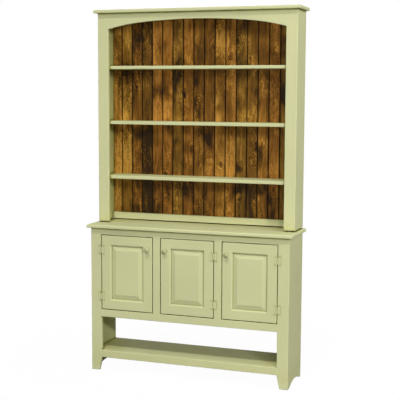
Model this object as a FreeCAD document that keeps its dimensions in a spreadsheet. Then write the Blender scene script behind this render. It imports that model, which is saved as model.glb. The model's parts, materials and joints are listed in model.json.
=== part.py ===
import FreeCAD, Part
import Sketcher
import math
import os
import re

# A step back cupboard: a face-framed base with three raised-panel doors over an open bay,
# and a shallower open hutch with an arched rail standing on the back of the base.
#
# Frame: X to the right, Y from the front to the back, Z up, in millimetres. The origin is on
# the floor, midway between the knob tips and the back.

BACK_BOARD_COUNT = 9
KNUCKLE_COUNT = 3

# Driving sizes: name, value, what it measures.
SIZES = (
    ("carcass_width", 1206, "outside width of the base and of the hutch"),
    ("base_depth", 300, "front of the base's face frame to the back"),
    ("hutch_setback", 110, "how far the hutch's face frame stands behind the base's"),
    ("foot_height", 79, "clear height under the bottom rail"),
    ("bottom_rail_width", 44, "rail in front of the low shelf"),
    ("bay_height", 203, "opening of the open bay"),
    ("middle_rail_width", 45, "rail between the open bay and the doors"),
    ("door_opening_height", 447, "opening that each door closes"),
    ("base_top_rail_width", 39, "rail over the doors"),
    ("counter_thickness", 20, "top board of the base"),
    ("counter_overhang", 20, "counter past the base at the front and sides"),
    ("counter_round", 7, "rounded upper edge of the counter"),
    ("counter_under_round", 4, "rounded lower edge of the counter"),
    ("hutch_height", 1227, "hutch under its crown board"),
    ("crown_thickness", 19, "top board of the hutch"),
    ("crown_overhang", 20, "crown board past the hutch at the front and sides"),
    ("crown_round", 5, "rounded edges of the crown board"),
    ("frame_thickness", 19, "thickness of both face frames"),
    ("board_thickness", 19, "sides, shelves and cupboard floor"),
    ("stile_width", 65, "outer stiles of both face frames"),
    ("mullion_width", 46, "upright between two doors"),
    ("frame_chamfer", 2, "eased front edges of the face frames"),
    ("foot_width", 48, "face-frame foot at the floor"),
    ("side_foot_front", 38, "front foot of a side, from the face"),
    ("side_foot_back", 24, "back foot of a side"),
    ("side_arch_rise", 26, "rise of the arch cut in the foot of a side"),
    ("arch_rail_end", 93, "arched rail where it meets the stile"),
    ("arch_rise", 52, "rise of the arch from the stile to the middle"),
    ("arch_crown_part", 0.61, "part of the opening under the flat middle of the arch"),
    ("arch_crown_share", 0.29, "part of the arch's rise in its flat middle"),
    ("first_shelf_height", 256, "hutch foot to the underside of the lowest hutch shelf"),
    ("shelf_spacing", 323.5, "one hutch shelf to the next"),
    ("shelf_round", 3, "eased front edges of the shelves"),
    ("back_rail_width", 38, "rail across the foot of the hutch's back"),
    ("back_board_thickness", 12, "boards of the hutch's back"),
    ("back_board_gap", 0.4, "room for one back board to swell"),
    ("back_vee", 3.5, "depth of the V down each joint and board"),
    ("tongue_thickness", 4, "tongue of a back board"),
    ("tongue_length", 5, "reach of a back board's tongue"),
    ("back_panel_thickness", 9, "panel behind the cupboard"),
    ("rabbet_width", 9, "step in a side that takes the back"),
    ("dado_depth", 6, "groove in a side that takes a shelf"),
    ("inner_shelf_rise", 210, "cupboard floor to the underside of the inner shelf"),
    ("inner_shelf_setback", 30, "inner shelf behind the face frame"),
    ("tenon_thickness", 7, "tenons of both face frames"),
    ("tenon_length", 12, "reach of a tenon"),
    ("tenon_shoulder", 5, "shoulder above and below a tenon"),
    ("joint_fit", 0.1, "clearance on each face of a wooden joint"),
    ("door_gap", 3.5, "gap all round each door"),
    ("door_thickness", 19, "frame of a door"),
    ("door_stile_width", 62, "uprights of a door"),
    ("door_rail_width", 61, "cross rails of a door"),
    ("door_chamfer", 2, "eased outer edges of a door"),
    ("sticking_round", 10, "moulded inner edge of a door's frame"),
    ("groove_inset", 10.5, "door's face to the groove for its panel"),
    ("groove_width", 5, "groove for the panel"),
    ("groove_depth", 9, "depth of the groove for the panel"),
    ("panel_play", 1.5, "room for the panel to swell in its groove"),
    ("bevel_width", 27, "sloping border of a raised panel"),
    ("field_inset", 1.5, "door's face to the raised field"),
    ("field_step", 1, "step at the edge of the raised field"),
    ("knob_inset", 28, "edge of the door to the middle of the knob"),
    ("knob_drop", 70.5, "head of the door to the middle of the knob"),
    ("knob_reach", 24, "knob in front of the door"),
    ("knob_radius", 15, "head of the knob"),
    ("knob_head", 12, "thickness of the knob's head"),
    ("knob_neck_radius", 7, "neck of the knob"),
    ("spigot_radius", 4.5, "spigot glued into the door"),
    ("spigot_length", 12, "reach of the spigot"),
    ("hinge_drop", 90, "door opening's head to the middle of the upper hinge"),
    ("hinge_rise", 79, "door opening's foot to the middle of the lower hinge"),
    ("hinge_leg_height", 57, "outer leg of a hinge leaf"),
    ("barrel_height", 37, "barrel of a hinge"),
    ("barrel_radius", 3.5, "outside of the barrel"),
    ("leaf_thickness", 2, "metal of a leaf"),
    ("leaf_reach", 19, "pin to the outer edge of a leaf"),
    ("leg_width", 9, "width of a leaf's leg"),
    ("knuckle_clearance", 0.3, "between a leaf and the other leaf's knuckles"),
    ("pin_radius", 1.6, "hinge pin"),
    ("pin_fit", 0.05, "running clearance round the pin"),
    ("pin_tip", 1, "pin past each end of the barrel"),
    ("catch_width", 40, "body of a magnetic catch"),
    ("catch_depth", 14, "catch behind the rail"),
    ("catch_rise", 24, "catch above the door opening's head"),
    ("catch_drop", 20, "catch below the door opening's head"),
    ("catch_play", 0.3, "shut door to its catch"),
    ("strike_length", 36, "steel strike on the door"),
    ("strike_height", 12, "height of the strike"),
    ("strike_inset", 2, "top of the door to the strike"),
    ("strike_thickness", 1.2, "metal of the strike"),
    ("glide_height", 6, "glides that lift the hutch off the counter"),
    ("glide_radius", 7, "radius of a glide"),
)

# Places worked out from the sizes.
PLACES = (
    ("half_width", "carcass_width / 2"),
    ("opening_half", "half_width - stile_width"),
    ("face_front", "(knob_reach - base_depth) / 2"),
    ("back_plane", "face_front + base_depth"),
    ("side_depth", "base_depth - frame_thickness"),
    ("bay_floor", "foot_height + bottom_rail_width"),
    ("bay_ceiling", "bay_floor + bay_height"),
    ("door_foot", "bay_ceiling + middle_rail_width"),
    ("door_head", "door_foot + door_opening_height"),
    ("base_height", "door_head + base_top_rail_width"),
    ("hutch_foot", "base_height + counter_thickness + glide_height"),
    ("hutch_face", "face_front + hutch_setback"),
    ("hutch_side_depth", "side_depth - hutch_setback"),
    ("door_opening", "(2 * opening_half - 2 * mullion_width) / 3"),
    ("mullion_near", "opening_half - door_opening"),
    ("mullion_far", "mullion_near - mullion_width"),
    ("mullion_middle", "(mullion_near + mullion_far) / 2"),
    ("door_width", "door_opening - 2 * door_gap"),
    ("door_height", "door_opening_height - 2 * door_gap"),
    ("tenon_inset", "(frame_thickness - tenon_thickness) / 2"),
    ("inner_shelf_foot", "door_foot + inner_shelf_rise"),
    ("side_arch_chord", "base_depth - side_foot_front - side_foot_back"),
    ("side_arch_radius", "(side_arch_chord ^ 2 / 4 + side_arch_rise ^ 2) / (2 * side_arch_rise)"),
    ("arch_spring", "hutch_height - arch_rail_end"),
    ("arch_crown_half", "opening_half * arch_crown_part"),
    ("arch_crown_rise", "arch_rise * arch_crown_share"),
    ("arch_crown_foot", "arch_spring + arch_rise - arch_crown_rise"),
    ("arch_crown_radius", "(arch_crown_half ^ 2 + arch_crown_rise ^ 2) / (2 * arch_crown_rise)"),
    ("arch_slope_sine", "arch_crown_half / arch_crown_radius"),
    ("arch_slope_cosine", "sqrt(1 - arch_slope_sine ^ 2)"),
    ("arch_haunch_run", "opening_half - arch_crown_half"),
    ("arch_haunch_rise", "arch_rise - arch_crown_rise"),
    ("arch_haunch_bend", "arch_haunch_rise * arch_slope_cosine - arch_haunch_run * arch_slope_sine"),
    ("arch_haunch_radius", "(arch_haunch_run ^ 2 + arch_haunch_rise ^ 2) / (2 * arch_haunch_bend)"),
    ("shelf_half", "half_width - board_thickness + dado_depth - joint_fit"),
    ("back_half", "half_width - board_thickness + rabbet_width - joint_fit"),
    ("panel_inset", "groove_depth - panel_play"),
    ("tongue_inset", "(back_board_thickness - tongue_thickness) / 2"),
    ("knuckle_pitch", "(barrel_height + knuckle_clearance) / %d" % KNUCKLE_COUNT),
    ("knuckle_height", "knuckle_pitch - knuckle_clearance"),
    ("web_across", "sqrt(barrel_radius ^ 2 - (barrel_radius - leaf_thickness) ^ 2)"),
    ("web_start", "barrel_radius + knuckle_clearance"),
    ("leg_inner", "leaf_reach - leg_width"),
    ("hinge_across", "-opening_half + door_gap / 2"),
    ("hinge_axis", "face_front - barrel_radius"),
    ("knob_across", "door_width - knob_inset"),
    ("knob_up", "door_height - knob_drop"),
    ("door_left_edge", "-opening_half + door_gap"),
    ("door_low_edge", "door_foot + door_gap"),
)

TOUCH = 1e-4
WORD = re.compile(r"\b[a-z_]+\b")
CELLS = {name for name, *_ in SIZES + PLACES}
FRONT, PLAN, END = "XZ_Plane", "XY_Plane", "YZ_Plane"

doc = FreeCAD.newDocument("StepBackCupboard")
sheet = doc.addObject("Spreadsheet::Sheet", "Sizes")
nodes = []


def fill_sheet():
    """One row for each size and each place: name, value, meaning."""
    for row, (name, number, meaning) in enumerate(SIZES, 1):
        sheet.set("A%d" % row, name)
        sheet.set("B%d" % row, str(number))
        sheet.set("C%d" % row, meaning)
        sheet.setAlias("B%d" % row, name)
    for row, (name, formula) in enumerate(PLACES, len(SIZES) + 2):
        sheet.set("A%d" % row, name)
        sheet.set("B%d" % row, "=" + formula)
        sheet.setAlias("B%d" % row, name)
    doc.recompute()


def bind(text):
    """A formula of cell names, as another object reads it."""
    return WORD.sub(lambda word: "Sizes." + word.group() if word.group() in CELLS else word.group(), text)


def value(text):
    """The present value of a formula of cell names."""
    return float(sheet.evalExpression(text))


# Helpers for bodies, sketches and features.

def new_body(label, x="0", y="0", z="0"):
    body = doc.addObject("PartDesign::Body", label)
    body.Label = label
    for axis, text in zip("xyz", (x, y, z)):
        body.setExpression("Placement.Base." + axis, bind(text))
    return body


def new_sketch(body, role, lift="0"):
    """A sketch on one of the body's own origin planes, lifted along the plane's normal."""
    sketch = body.newObject("Sketcher::SketchObject", "Sketch")
    plane = next(item for item in body.Origin.OriginFeatures if item.Role == role)
    sketch.AttachmentSupport = (plane, [""])
    sketch.MapMode = "FlatFace"
    sketch.setExpression("AttachmentOffset.Base.z", bind(lift))
    return sketch


def set_distance(sketch, kind, item, end, text):
    """Ties one coordinate of a point to a formula."""
    number = sketch.addConstraint(Sketcher.Constraint(kind, -1, 1, item, end, value(text)))
    sketch.setExpression("Constraints[%d]" % number, bind(text))


def arc_between(start, end, radius, turn):
    """An arc of under half a circle, turning left (1) or right (-1) from start to end."""
    run = end - start
    reach = math.sqrt(radius ** 2 - run.Length ** 2 / 4)
    centre = (start + end) / 2 + FreeCAD.Vector(-run.y, run.x, 0).normalize() * reach * turn
    first, last = (start, end) if turn > 0 else (end, start)
    angles = [math.atan2(point.y - centre.y, point.x - centre.x) for point in (first, last)]
    return Part.ArcOfCircle(Part.Circle(centre, FreeCAD.Vector(0, 0, 1), radius), *angles)


def draw_path(sketch, corners):
    """A closed outline. A corner is (across, up), or (across, up, radius, turn) if an arc leaves it."""
    points = [FreeCAD.Vector(value(corner[0]), value(corner[1]), 0) for corner in corners]
    edges = []
    for index, corner in enumerate(corners):
        start, end = points[index], points[(index + 1) % len(points)]
        if len(corner) == 2:
            edges.append((sketch.addGeometry(Part.LineSegment(start, end)), 1, 2))
            continue
        radius, turn = corner[2:]
        item = sketch.addGeometry(arc_between(start, end, value(radius), turn))
        edges.append((item, 1, 2) if turn > 0 else (item, 2, 1))
    for index, corner in enumerate(corners):
        item, first, last = edges[index]
        following, its_first, _ = edges[(index + 1) % len(edges)]
        sketch.addConstraint(Sketcher.Constraint("Coincident", item, last, following, its_first))
        set_distance(sketch, "DistanceX", item, first, corner[0])
        set_distance(sketch, "DistanceY", item, first, corner[1])
        if len(corner) > 2:
            number = sketch.addConstraint(Sketcher.Constraint("Radius", item, value(corner[2])))
            sketch.setExpression("Constraints[%d]" % number, bind(corner[2]))


def draw_rectangle(sketch, left, low, right, high):
    draw_path(sketch, ((left, low), (right, low), (right, high), (left, high)))


def draw_circle(sketch, across, up, radius):
    middle = FreeCAD.Vector(value(across), value(up), 0)
    item = sketch.addGeometry(Part.Circle(middle, FreeCAD.Vector(0, 0, 1), value(radius)))
    set_distance(sketch, "DistanceX", item, 3, across)
    set_distance(sketch, "DistanceY", item, 3, up)
    number = sketch.addConstraint(Sketcher.Constraint("Radius", item, value(radius)))
    sketch.setExpression("Constraints[%d]" % number, bind(radius))


def add_pad(body, sketch, length, backwards=False):
    """Material on the sketch, along its normal or backwards."""
    feature = body.newObject("PartDesign::Pad", "Pad")
    feature.Profile = sketch
    feature.setExpression("Length", bind(length))
    feature.Reversed = backwards
    return feature


def cut_pocket(body, sketch, depth, backwards=False):
    """Material taken away against the sketch's normal, or along it. It has to cut something."""
    doc.recompute()
    before = body.Shape.Volume
    feature = body.newObject("PartDesign::Pocket", "Pocket")
    feature.Profile = sketch
    feature.setExpression("Length", bind(depth))
    feature.Reversed = backwards
    doc.recompute()
    if feature.Shape.Volume > before - TOUCH:
        raise ValueError("a pocket in %s cuts nothing" % body.Label)
    return feature


def add_block(body, role, lift, corners, length):
    """A block on a rectangle (left, low, right, high), built away from the viewer or upwards."""
    sketch = new_sketch(body, role, lift)
    draw_rectangle(sketch, *corners)
    return add_pad(body, sketch, length, backwards=role == FRONT)


def cut_blocks(body, role, lift, rectangles, depth, backwards=False):
    sketch = new_sketch(body, role, lift)
    for corners in rectangles:
        draw_rectangle(sketch, *corners)
    return cut_pocket(body, sketch, depth, backwards)


def dress_edges(body, kind, measure, size, chosen):
    """Works the edges of the body so far that the test picks."""
    doc.recompute()
    base = body.Tip
    names = ["Edge%d" % number for number, edge in enumerate(base.Shape.Edges, 1) if chosen(edge.BoundBox)]
    feature = body.newObject("PartDesign::" + kind, kind)
    feature.Base = (base, names)
    feature.setExpression(measure, bind(size))


def round_edges(body, radius, chosen):
    """Rounds the edges that the test picks."""
    dress_edges(body, "Fillet", "Radius", radius, chosen)


def chamfer_edges(body, width, chosen):
    """Cuts a flat along the edges that the test picks."""
    dress_edges(body, "Chamfer", "Size", width, chosen)


def on_plane(low, high, place):
    return abs(low - place) < TOUCH and abs(high - place) < TOUCH


def at_front(box, place=0):
    return on_plane(box.YMin, box.YMax, place)


def at_side(box, place):
    return on_plane(box.XMin, box.XMax, place)


def at_height(box, place):
    return on_plane(box.ZMin, box.ZMax, place)


# Helpers for finished sub-parts.

def keep(item, label, solids=1):
    """Puts a finished sub-part on the list, under the label that names its file."""
    item.Label = label
    nodes.append((item, solids))
    return item


def shared_with(blank, envelope, label):
    """What a blank keeps of an envelope that was shaped in one go."""
    common = doc.addObject("Part::Common", label)
    common.Base = blank
    common.Tool = envelope
    return common


def mirrored(source, label, plane="0"):
    """The same piece on the other side of an upright plane across X."""
    mirror = doc.addObject("Part::Mirroring", label)
    mirror.Source = source
    mirror.Normal = FreeCAD.Vector(1, 0, 0)
    mirror.setExpression("Base.x", bind(plane))
    return mirror


def group(items, label):
    compound = doc.addObject("Part::Compound", label)
    compound.Links = items
    return compound


def keep_pair(source, stem):
    keep(source, stem + "_left")
    keep(mirrored(source, stem + "_right"), stem + "_right")


# Face frames. Each frame is eased in one go after it is joined, so a member is its blank,
# tenons and mortises included, where it shares space with the eased frame.

def tenon_hole(low, high):
    """Mortise seen along X, for a rail that lies between two heights."""
    return ("tenon_inset - joint_fit", "%s + tenon_shoulder - joint_fit" % low,
            "tenon_inset + tenon_thickness + joint_fit", "%s - tenon_shoulder + joint_fit" % high)


def rail_blank(label, y, z, low, high):
    """A rail between the stiles with a stub tenon on each end."""
    body = new_body(label + "_blank", y=y, z=z)
    add_block(body, FRONT, "0", ("-opening_half", low, "opening_half", high), "frame_thickness")
    tenon = ("-opening_half - tenon_length", low + " + tenon_shoulder",
             "opening_half + tenon_length", high + " - tenon_shoulder")
    add_block(body, FRONT, "-tenon_inset", tenon, "tenon_thickness")
    return body


def stile_blank(label, y, z, height, rails):
    """The left stile with a mortise for each rail."""
    body = new_body(label + "_blank", y=y, z=z)
    add_block(body, FRONT, "0", ("-half_width", "0", "-opening_half", height), "frame_thickness")
    cut_blocks(body, END, "-opening_half", [tenon_hole(*rail) for rail in rails], "tenon_length + joint_fit")
    return body


def base_frame_envelope():
    body = new_body("base_frame_envelope", y="face_front")
    sketch = new_sketch(body, FRONT)
    draw_path(sketch, (("-half_width", "0"), ("-half_width + foot_width", "0"),
                       ("-opening_half", "foot_height"), ("opening_half", "foot_height"),
                       ("half_width - foot_width", "0"), ("half_width", "0"),
                       ("half_width", "base_height"), ("-half_width", "base_height")))
    draw_rectangle(sketch, "-opening_half", "bay_floor", "opening_half", "bay_ceiling")
    for left, right in (("-opening_half", "-mullion_near"), ("-mullion_far", "mullion_far"),
                        ("mullion_near", "opening_half")):
        draw_rectangle(sketch, left, "door_foot", right, "door_head")
    add_pad(body, sketch, "frame_thickness", backwards=True)
    top = value("base_height")
    chamfer_edges(body, "frame_chamfer", lambda box: at_front(box) and not at_height(box, top))
    return body


def mullion_blank():
    body = new_body("base_mullion_blank", y="face_front")
    face = ("-mullion_near", "door_foot", "-mullion_far", "door_head")
    add_block(body, FRONT, "0", face, "frame_thickness")
    tenon = ("-mullion_near + tenon_shoulder", "door_foot - tenon_length",
             "-mullion_far - tenon_shoulder", "door_head + tenon_length")
    add_block(body, FRONT, "-tenon_inset", tenon, "tenon_thickness")
    return body


def cut_mullion_mortises(body, lift, upwards):
    """Two mortises in the edge of a rail, for the tenons of the mullions."""
    near = "(mullion_near - tenon_shoulder + joint_fit)"
    far = "(mullion_far + tenon_shoulder - joint_fit)"
    low, high = "tenon_inset - joint_fit", "tenon_inset + tenon_thickness + joint_fit"
    holes = (("-" + near, low, "-" + far, high), (far, low, near, high))
    cut_blocks(body, PLAN, lift, holes, "tenon_length + joint_fit", backwards=upwards)


def make_base_frame():
    envelope = base_frame_envelope()
    rails = (("foot_height", "bay_floor"), ("bay_ceiling", "door_foot"), ("door_head", "base_height"))
    stile = stile_blank("base_stile", "face_front", "0", "base_height", rails)
    keep_pair(shared_with(stile, envelope, "base_stile_left"), "base_stile")
    keep_pair(shared_with(mullion_blank(), envelope, "base_mullion_left"), "base_mullion")
    for label, (low, high) in zip(("base_bottom_rail", "base_middle_rail", "base_top_rail"), rails):
        blank = rail_blank(label, "face_front", "0", low, high)
        if label == "base_middle_rail":
            cut_mullion_mortises(blank, "door_foot", upwards=False)
        if label == "base_top_rail":
            cut_mullion_mortises(blank, "door_head", upwards=True)
        keep(shared_with(blank, envelope, label), label)


def hutch_frame_envelope():
    """Two stiles under a rail, whose lower edge is an arch of three arcs that meet smoothly."""
    body = new_body("hutch_frame_envelope", y="hutch_face", z="hutch_foot")
    sketch = new_sketch(body, FRONT)
    draw_path(sketch, (("opening_half", "arch_spring", "arch_haunch_radius", 1),
                       ("arch_crown_half", "arch_crown_foot", "arch_crown_radius", 1),
                       ("-arch_crown_half", "arch_crown_foot", "arch_haunch_radius", 1),
                       ("-opening_half", "arch_spring"), ("-opening_half", "0"), ("-half_width", "0"),
                       ("-half_width", "hutch_height"), ("half_width", "hutch_height"),
                       ("half_width", "0"), ("opening_half", "0")))
    add_pad(body, sketch, "frame_thickness", backwards=True)
    top = value("hutch_height")
    chamfer_edges(body, "frame_chamfer", lambda box: at_front(box) and not at_height(box, top))
    return body


def make_hutch_frame():
    envelope = hutch_frame_envelope()
    rail = ("arch_spring", "hutch_height")
    stile = stile_blank("hutch_stile", "hutch_face", "hutch_foot", "hutch_height", [rail])
    keep_pair(shared_with(stile, envelope, "hutch_stile_left"), "hutch_stile")
    blank = rail_blank("hutch_arched_rail", "hutch_face", "hutch_foot", *rail)
    keep(shared_with(blank, envelope, "hutch_arched_rail"), "hutch_arched_rail")


# Carcass boards.

def shelf_dado(foot):
    """Groove in a side seen along X, for a shelf whose underside is at this height."""
    return ("0", foot + " - joint_fit", foot + " + board_thickness + joint_fit")


def cut_dados(body, depth, feet, back):
    """Grooves across the inner face of a side, open at the front."""
    holes = [(front, low, depth, high) for front, low, high in map(shelf_dado, feet)]
    cut_blocks(body, END, "board_thickness", holes, "dado_depth")
    cut_blocks(body, END, "board_thickness", [back], "rabbet_width")


def make_base_sides():
    body = new_body("base_side", "-half_width", "face_front + frame_thickness")
    sketch = new_sketch(body, END)
    draw_path(sketch, (("0", "0"), ("side_foot_front - frame_thickness", "0", "side_arch_radius", -1),
                       ("side_depth - side_foot_back", "0"), ("side_depth", "0"),
                       ("side_depth", "base_height"), ("0", "base_height")))
    add_pad(body, sketch, "board_thickness")
    back = ("side_depth - back_panel_thickness", "door_foot - board_thickness", "side_depth", "base_height")
    feet = ("bay_floor - board_thickness", "door_foot - board_thickness", "inner_shelf_foot")
    cut_dados(body, "side_depth", feet, back)
    keep_pair(body, "base_side")


def make_hutch_sides():
    body = new_body("hutch_side", "-half_width", "hutch_face + frame_thickness", "hutch_foot")
    add_block(body, END, "0", ("0", "0", "hutch_side_depth", "hutch_height"), "board_thickness")
    back = ("hutch_side_depth - back_board_thickness", "0", "hutch_side_depth", "hutch_height")
    feet = ["first_shelf_height + %d * shelf_spacing" % number for number in range(3)]
    cut_dados(body, "hutch_side_depth", feet, back)
    keep_pair(body, "hutch_side")


def make_shelf(label, y, z, depth):
    """A shelf that runs from dado to dado."""
    body = new_body(label, "-shelf_half", y, z)
    add_block(body, PLAN, "0", ("0", "0", "2 * shelf_half", depth), "board_thickness")
    return keep(body, label)


def ease_front(shelf):
    """Rounds the long front edges of a shelf that no rail covers."""
    round_edges(shelf, "shelf_round", lambda box: at_front(box) and box.XLength > box.ZLength)


def make_base_shelves():
    behind = "face_front + frame_thickness"
    make_shelf("base_low_shelf", behind, "bay_floor - board_thickness", "side_depth")
    make_shelf("base_cupboard_floor", behind, "door_foot - board_thickness",
               "side_depth - back_panel_thickness")
    ease_front(make_shelf("base_inner_shelf", behind + " + inner_shelf_setback", "inner_shelf_foot",
                          "side_depth - back_panel_thickness - inner_shelf_setback"))


def make_hutch_shelves():
    for number, name in enumerate(("lower", "middle", "upper")):
        ease_front(make_shelf("hutch_shelf_" + name, "hutch_face + frame_thickness",
                              "hutch_foot + first_shelf_height + %d * shelf_spacing" % number,
                              "hutch_side_depth - back_board_thickness"))


def make_top_board(label, front, overhang, z, thickness, round_above, round_below):
    """A top board that passes the carcass at the front and sides and is flush at the back."""
    body = new_body(label, "-half_width - " + overhang, "%s - %s" % (front, overhang), z)
    width = "carcass_width + 2 * " + overhang
    depth = "back_plane - %s + %s" % (front, overhang)
    add_block(body, PLAN, "0", ("0", "0", width, depth), thickness)
    rear = value(depth)
    for height, radius in ((value(thickness), round_above), (0, round_below)):
        round_edges(body, radius, lambda box: at_height(box, height) and not at_front(box, rear))
    keep(body, label)


def make_back_panel():
    body = new_body("base_back_panel", "-back_half", "back_plane - back_panel_thickness",
                    "door_foot - board_thickness")
    add_block(body, PLAN, "0", ("0", "0", "2 * back_half", "back_panel_thickness"),
              "base_height - door_foot + board_thickness")
    keep(body, "base_back_panel")


def make_hutch_back_rail():
    inner = "(half_width - board_thickness - joint_fit)"
    body = new_body("hutch_back_rail", "-" + inner,
                    "back_plane - back_board_thickness - board_thickness", "hutch_foot")
    add_block(body, PLAN, "0", ("0", "0", "2 * " + inner, "board_thickness"), "back_rail_width")
    keep(body, "hutch_back_rail")


# Hutch back: tongued boards with a V at each joint and another down each middle.

def board_section(width, first, last):
    """Section of one back board, front face at zero, tongue to the right, groove to the left."""
    corners = [("back_vee", "0"), (width + " / 2 - back_vee", "0"), (width + " / 2", "back_vee"),
               (width + " / 2 + back_vee", "0"), (width + " - back_vee", "0"), (width, "back_vee")]
    near, far = "tongue_inset", "tongue_inset + tongue_thickness"
    if not last:
        tip = width + " + tongue_length"
        corners += [(width, near), (tip, near), (tip, far), (width, far)]
    corners += [(width, "back_board_thickness"), ("0", "back_board_thickness")]
    if not first:
        root = "tongue_length + joint_fit - back_board_gap"
        near, far = near + " - joint_fit", far + " + joint_fit"
        corners += [("0", far), (root, far), (root, near), ("0", near)]
    return corners + [("0", "back_vee")]


def make_back_boards():
    """The boards run down past the hutch's foot and stand on the counter, which closes the gap there."""
    pitch = "(2 * back_half + back_board_gap) / %d" % BACK_BOARD_COUNT
    for number in range(BACK_BOARD_COUNT):
        label = "hutch_back_board_%d" % (number + 1)
        body = new_body(label, "-back_half + %d * %s" % (number, pitch),
                        "back_plane - back_board_thickness", "hutch_foot - glide_height")
        sketch = new_sketch(body, PLAN)
        last = number == BACK_BOARD_COUNT - 1
        draw_path(sketch, board_section("(%s - back_board_gap)" % pitch, number == 0, last))
        add_pad(body, sketch, "hutch_height + glide_height")
        keep(body, label)


# Doors. The left door is drawn; the middle one is its mirror image across the middle of the
# mullion between them, and the right one its mirror image across the middle of the cupboard.

def door_body(label):
    return new_body(label, "door_left_edge", "face_front", "door_low_edge")


def door_envelope():
    """The joined door frame: eased outside, moulded inside."""
    body = door_body("door_envelope")
    sketch = new_sketch(body, FRONT)
    draw_rectangle(sketch, "0", "0", "door_width", "door_height")
    draw_rectangle(sketch, "door_stile_width", "door_rail_width",
                   "door_width - door_stile_width", "door_height - door_rail_width")
    add_pad(body, sketch, "door_thickness", backwards=True)
    width, height = value("door_width"), value("door_height")

    def outer(box):
        return at_side(box, 0) or at_side(box, width) or at_height(box, 0) or at_height(box, height)
    chamfer_edges(body, "door_chamfer", lambda box: at_front(box) and outer(box))
    inset = value("door_stile_width")
    round_edges(body, "sticking_round", lambda box: at_front(box) and box.XMin > inset - TOUCH
                and box.XMax < width - inset + TOUCH)
    return body


def grooved_section(edge, sign, width, thickness):
    """Section of a frame member: edge is its outer edge, and the groove is in the other one."""
    inner, root = (" %s %s" % (sign, part) for part in (width, "(%s - groove_depth)" % width))
    far = "groove_inset + groove_width"
    return ((edge, "0"), (edge + inner, "0"), (edge + inner, "groove_inset"), (edge + root, "groove_inset"),
            (edge + root, far), (edge + inner, far), (edge + inner, thickness), (edge, thickness))


def door_stile_blank(label, edge, sign):
    body = door_body(label + "_blank")
    sketch = new_sketch(body, PLAN)
    draw_path(sketch, grooved_section(edge, sign, "door_stile_width", "door_thickness"))
    add_pad(body, sketch, "door_height")
    return body


def door_rail_blank(label, edge, sign):
    """A cross rail whose stub tenons fill the ends of the stiles' grooves."""
    body = door_body(label + "_blank")
    section = grooved_section(edge, sign, "door_rail_width", "door_thickness")
    sketch = new_sketch(body, END, "door_stile_width")
    draw_path(sketch, [(across, up) for up, across in section])
    add_pad(body, sketch, "door_width - 2 * door_stile_width")
    reach = "(groove_depth - joint_fit)"
    root = "%s %s (door_rail_width - groove_depth)" % (edge, sign)
    low, high = (edge, root) if sign == "+" else (root, edge)
    add_block(body, END, "door_stile_width - " + reach,
              ("groove_inset + joint_fit", low, "groove_inset + groove_width - joint_fit", high),
              "door_width - 2 * door_stile_width + 2 * " + reach)
    return body


def door_knob_stile_blank():
    body = door_stile_blank("door_knob_stile", "door_width", "-")
    sketch = new_sketch(body, FRONT)
    draw_circle(sketch, "knob_across", "knob_up", "spigot_radius + joint_fit")
    cut_pocket(body, sketch, "spigot_length + joint_fit")
    return body


def inside_frame(inset):
    """A rectangle inside the door's frame, this far from the sight edge."""
    left, low = "(door_stile_width + %s)" % inset, "(door_rail_width + %s)" % inset
    return left, low, "door_width - " + left, "door_height - " + low


def door_panel():
    """A raised panel: tongue, sloping border, and a field that steps up inside it."""
    body = door_body("door_panel")
    tongue_front, field_foot = "(groove_inset + joint_fit)", "(field_inset + field_step)"
    add_block(body, FRONT, "-" + tongue_front, inside_frame("-panel_inset"), "groove_width - 2 * joint_fit")
    bevel = body.newObject("PartDesign::AdditiveWedge", "Bevel")
    corners = ("Xmin", "Zmin", "Xmax", "Zmax"), ("X2min", "Z2min", "X2max", "Z2max")
    for sides, inset in zip(corners, ("bevel_width", "0")):
        for side, text in zip(sides, inside_frame(inset)):
            bevel.setExpression(side, bind(text))
    bevel.setExpression("Ymin", bind(field_foot))
    bevel.setExpression("Ymax", bind(tongue_front))
    field = new_sketch(body, FRONT, "-" + field_foot)
    draw_rectangle(field, *inside_frame("bevel_width"))
    add_pad(body, field, "field_step")
    return body


def door_knob():
    """A turned mushroom knob with its spigot, on an axis along Y."""
    body = new_body("door_knob", "door_left_edge + knob_across", "face_front", "door_low_edge + knob_up")
    sketch = new_sketch(body, END)
    draw_path(sketch, (("spigot_length", "0"), ("spigot_length", "spigot_radius"), ("0", "spigot_radius"),
                       ("0", "knob_neck_radius"), ("knob_head - knob_reach", "knob_neck_radius"),
                       ("knob_head - knob_reach", "knob_radius"), ("-knob_reach", "knob_radius"),
                       ("-knob_reach", "0")))
    return turn(body, sketch, "H_Axis")


def turn(body, sketch, axis):
    """A full turn of the sketch about one of its own axes."""
    turned = body.newObject("PartDesign::Revolution", "Turned")
    turned.Profile = sketch
    turned.ReferenceAxis = (sketch, [axis])
    turned.Angle = 360
    return body


def door_strike():
    """Steel plate on the back of the door that the catch holds."""
    body = new_body("door_strike", "door_left_edge + knob_across - strike_length / 2",
                    "face_front + door_thickness",
                    "door_low_edge + door_height - strike_inset - strike_height")
    add_block(body, PLAN, "0", ("0", "0", "strike_length", "strike_thickness"), "strike_height")
    return body


# Surface hinges of H shape.

def repeat_upwards(body, sketch, feature, run, count):
    """Copies of a feature in a row along its sketch's normal, the last of them this far away."""
    doc.recompute()
    row = body.newObject("PartDesign::LinearPattern", "Row")
    row.Originals = [feature]
    row.Direction = (sketch, ["N_Axis"])
    row.setExpression("Length", bind(run))
    row.Occurrences = count
    body.Tip = row


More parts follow.
